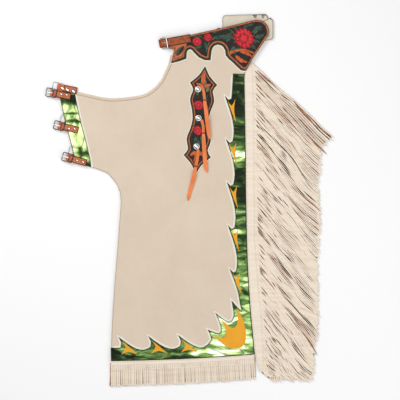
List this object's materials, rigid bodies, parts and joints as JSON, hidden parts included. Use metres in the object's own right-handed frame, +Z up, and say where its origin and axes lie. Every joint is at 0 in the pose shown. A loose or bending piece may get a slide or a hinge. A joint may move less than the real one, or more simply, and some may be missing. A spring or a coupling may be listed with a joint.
{
  "type": "leather chaps",
  "caption": "Fringed cream suede chaps folded flat, with a metallic green flame border, orange tongues, tooled yoke and thigh patch, conchos and buckled thigh straps.",
  "frame": {"origin": "centre of the part's box, on the surface that the garment lies on", "axes": "+Y up the leg towards the waist, +X towards the fringed outer seam, +Z up off the surface"},
  "size_m": [0.7496, 0.9688, 0.0191],
  "materials": {
    "suede_leather": "napped suede",
    "fringe_leather": "napped suede",
    "pale_edging": "smooth, matt",
    "green_foil": "metallic foil finish",
    "orange_leather": "smooth, satin",
    "tooled_leather": "tooled, satin",
    "dark_underlay": "smooth, satin",
    "tie_leather": "smooth, satin",
    "nickel": "polished nickel plate"
  },
  "bodies": {
    "garment": {"leg_panel": "suede_leather", "lower_leg": "suede_leather", "border_edging": "pale_edging", "border_green": "green_foil", "corner_tongues": "orange_leather", "thigh_band_edging": "pale_edging", "thigh_band": "green_foil", "yoke_edging": "pale_edging", "yoke_underlay": "dark_underlay", "yoke_tooled": "tooled_leather", "patch_edging": "pale_edging", "patch_underlay": "dark_underlay", "patch_tooled": "tooled_leather", "belt_billet": "tooled_leather", "belt_buckle_frame": "nickel", "belt_prong": "nickel", "lower_belt": "suede_leather", "lower_belt_tab": "suede_leather", "side_fringe": "fringe_leather", "hem_fringe": "fringe_leather", "lower_side_fringe": "fringe_leather", "lower_hem_fringe": "fringe_leather", "side_tongue_1": "orange_leather", "side_tongue_2": "orange_leather", "side_tongue_3": "orange_leather", "side_tongue_4": "orange_leather", "side_tongue_5": "orange_leather", "hem_tongue_1": "orange_leather", "concho_1": "nickel", "tie_1": "tie_leather", "leg_strap_1": "tooled_leather", "lower_strap_1": "tooled_leather", "buckle_frame_1": "nickel", "lower_frame_1": "nickel", "hem_tongue_2": "orange_leather", "concho_2": "nickel", "tie_2": "tie_leather", "leg_strap_2": "tooled_leather", "lower_strap_2": "tooled_leather", "buckle_frame_2": "nickel", "lower_frame_2": "nickel", "hem_tongue_3": "orange_leather", "concho_3": "nickel", "tie_3": "tie_leather", "leg_strap_3": "tooled_leather", "lower_strap_3": "tooled_leather", "buckle_frame_3": "nickel", "lower_frame_3": "nickel"},
    "prong_1": {"prong_1": "nickel"},
    "prong_2": {"prong_2": "nickel"},
    "prong_3": {"prong_3": "nickel"}
  },
  "joints": [
    {"name": "prong_1_hinge", "type": "hinge", "parent": "garment", "child": "prong_1", "pos_m": [-0.35867, 0.2795, 0.00914], "axis": [0.1908, 0.9816, 0], "range_deg": [0, 140]},
    {"name": "prong_2_hinge", "type": "hinge", "parent": "garment", "child": "prong_2", "pos_m": [-0.33833, 0.19388, 0.00914], "axis": [0.225, 0.9744, 0], "range_deg": [0, 140]},
    {"name": "prong_3_hinge", "type": "hinge", "parent": "garment", "child": "prong_3", "pos_m": [-0.31677, 0.1114, 0.00914], "axis": [0.2756, 0.9613, 0], "range_deg": [0, 140]}
  ]
}
